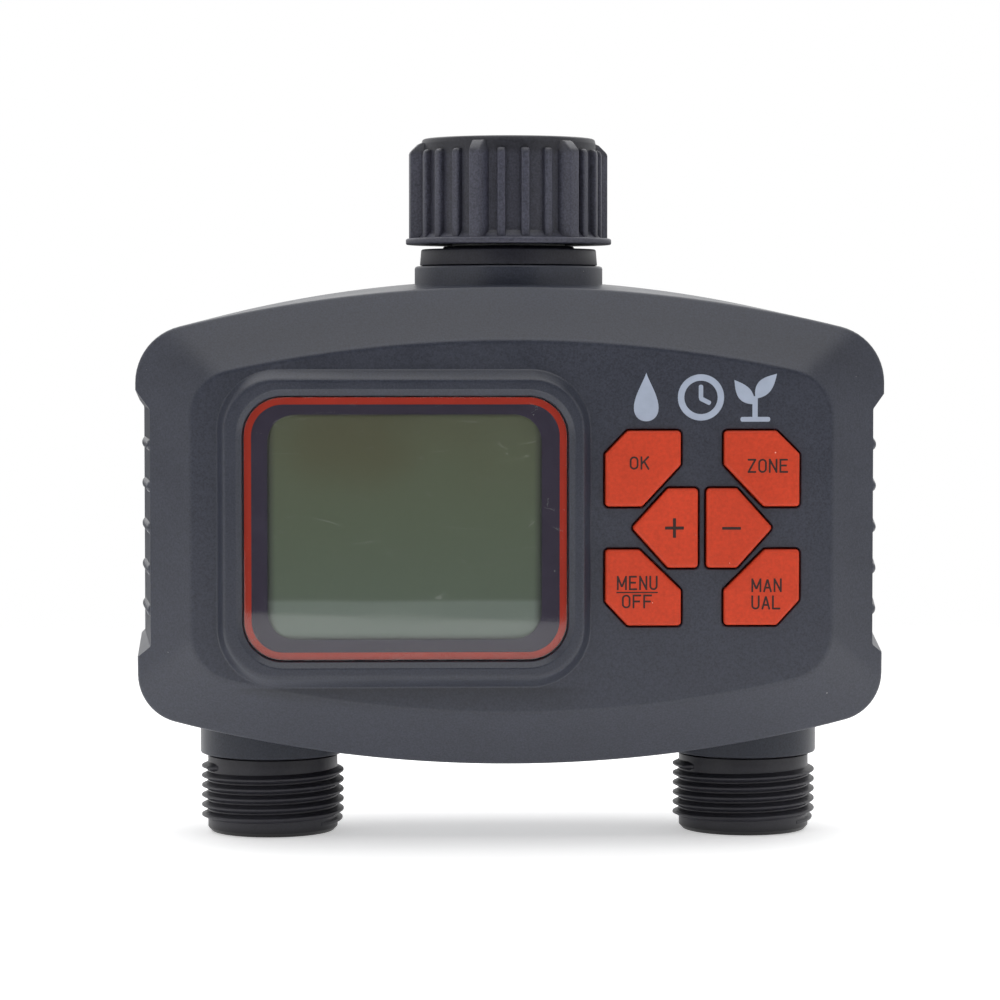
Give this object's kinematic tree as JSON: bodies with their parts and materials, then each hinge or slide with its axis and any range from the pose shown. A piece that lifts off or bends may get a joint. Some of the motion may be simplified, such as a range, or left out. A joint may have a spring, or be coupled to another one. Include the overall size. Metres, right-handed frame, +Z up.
{
  "type": "drip irrigation timer",
  "caption": "Tap-mounted electronic drip irrigation timer with a ribbed swivel inlet nut, a square display, soft keys and threaded outlets below.",
  "frame": {"origin": "on the floor plane at the outlets' lower rims, midway between the two outlets, on the plane of the inlet and outlet axes", "axes": "+Z up along the inlet axis, +X to the right as seen from the display, -Y out of the display, +Y out of the battery door"},
  "size_m": [0.1388, 0.0646, 0.1283],
  "materials": {
    "charcoal_shell": "fine satin texture",
    "black_nylon": "satin",
    "orange_silicone": "matte, soft",
    "clear_lens": "gloss",
    "printed_mask": "dark film with an orange border line",
    "lcd_glass": "grey-green, satin",
    "white_acetal": "satin",
    "board_green": "solder mask",
    "black_rubber": "matte",
    "grey_silicone": "matte",
    "copper_winding": "enamelled wire",
    "zinc_steel": "zinc plated",
    "cell_sleeve": "printed sleeve, plain",
    "nickel_plate": "nickel plated",
    "foam_tape": "closed-cell foam",
    "wire_sleeve": "soft sleeve",
    "strainer_mesh": "fine mesh cup"
  },
  "bodies": {
    "root": {"front_housing": "charcoal_shell", "rear_housing": "charcoal_shell", "neck_collar": "black_nylon", "outlet_nipple_left": "black_nylon", "outlet_nipple_right": "black_nylon", "battery_box": "black_nylon", "display_window": "clear_lens", "display_mask": "printed_mask", "lcd_panel": "lcd_glass", "lcd_frame": "white_acetal", "manifold": "white_acetal", "bonnet_left": "white_acetal", "bonnet_right": "white_acetal", "control_board": "board_green", "inlet_washer": "black_rubber", "outlet_oring_left": "black_rubber", "outlet_oring_right": "black_rubber", "diaphragm_left": "black_rubber", "diaphragm_right": "black_rubber", "keypad_mat": "grey_silicone", "zebra_strip": "grey_silicone", "solenoid_coil_left": "copper_winding", "solenoid_coil_right": "copper_winding", "solenoid_yoke_left": "zinc_steel", "solenoid_yoke_right": "zinc_steel", "plunger_spring_left": "zinc_steel", "plunger_spring_right": "zinc_steel", "housing_screw_1": "zinc_steel", "housing_screw_2": "zinc_steel", "housing_screw_3": "zinc_steel", "housing_screw_4": "zinc_steel", "housing_screw_5": "zinc_steel", "housing_screw_6": "zinc_steel", "battery_upper": "cell_sleeve", "battery_lower": "cell_sleeve", "battery_bridge": "nickel_plate", "battery_contact_upper": "nickel_plate", "battery_contact_lower": "nickel_plate", "display_gasket": "foam_tape", "coil_lead_left": "wire_sleeve", "coil_lead_right": "wire_sleeve", "battery_lead": "wire_sleeve", "inlet_filter": "strainer_mesh"},
    "nut": {"inlet_nut": "black_nylon"},
    "key_ok": {"button_ok": "orange_silicone"},
    "key_zone": {"button_zone": "orange_silicone"},
    "key_plus": {"button_plus": "orange_silicone"},
    "key_minus": {"button_minus": "orange_silicone"},
    "key_menu": {"button_menu": "orange_silicone"},
    "key_manual": {"button_manual": "orange_silicone"},
    "plunger_left": {"plunger_left": "zinc_steel"},
    "plunger_right": {"plunger_right": "zinc_steel"},
    "valve_disc_left": {"valve_disc_left": "grey_silicone"},
    "valve_disc_right": {"valve_disc_right": "grey_silicone"},
    "door": {"battery_door": "charcoal_shell", "battery_door_seal": "grey_silicone"},
    "door_screw": {"battery_door_screw": "nickel_plate"}
  },
  "joints": [
    {"name": "inlet_nut_spin", "type": "hinge", "parent": "root", "child": "nut", "pos_m": [0, 0, 0.1188], "axis": [0, 0, 1], "continuous": true},
    {"name": "press_ok", "type": "slide", "parent": "root", "child": "key_ok", "axis": [0, 1, 0], "range_m": [0, 0.0008], "stiffness_N_per_m": 1200, "springref_m": -0.0003},
    {"name": "press_zone", "type": "slide", "parent": "root", "child": "key_zone", "axis": [0, 1, 0], "range_m": [0, 0.0008], "stiffness_N_per_m": 1200, "springref_m": -0.0003},
    {"name": "press_plus", "type": "slide", "parent": "root", "child": "key_plus", "axis": [0, 1, 0], "range_m": [0, 0.0008], "stiffness_N_per_m": 1200, "springref_m": -0.0003},
    {"name": "press_minus", "type": "slide", "parent": "root", "child": "key_minus", "axis": [0, 1, 0], "range_m": [0, 0.0008], "stiffness_N_per_m": 1200, "springref_m": -0.0003},
    {"name": "press_menu", "type": "slide", "parent": "root", "child": "key_menu", "axis": [0, 1, 0], "range_m": [0, 0.0008], "stiffness_N_per_m": 1200, "springref_m": -0.0003},
    {"name": "press_manual", "type": "slide", "parent": "root", "child": "key_manual", "axis": [0, 1, 0], "range_m": [0, 0.0008], "stiffness_N_per_m": 1200, "springref_m": -0.0003},
    {"name": "plunger_lift_left", "type": "slide", "parent": "root", "child": "plunger_left", "axis": [0, 0, 1], "range_m": [0, 0.0015], "stiffness_N_per_m": 200, "springref_m": -0.003, "deforming": ["plunger_spring_left"]},
    {"name": "valve_lift_left", "type": "slide", "parent": "root", "child": "valve_disc_left", "axis": [0, 0, 1], "range_m": [0, 0.0025]},
    {"name": "plunger_lift_right", "type": "slide", "parent": "root", "child": "plunger_right", "axis": [0, 0, 1], "range_m": [0, 0.0015], "stiffness_N_per_m": 200, "springref_m": -0.003, "deforming": ["plunger_spring_right"]},
    {"name": "valve_lift_right", "type": "slide", "parent": "root", "child": "valve_disc_right", "axis": [0, 0, 1], "range_m": [0, 0.0025]},
    {"name": "battery_door_lift", "type": "slide", "parent": "root", "child": "door", "axis": [0, 1, 0], "range_m": [0, 0.03]},
    {"name": "battery_door_screw_turn", "type": "hinge", "parent": "door", "child": "door_screw", "pos_m": [0, 0.0268, 0.048], "axis": [0, 1, 0], "continuous": true}
  ]
}
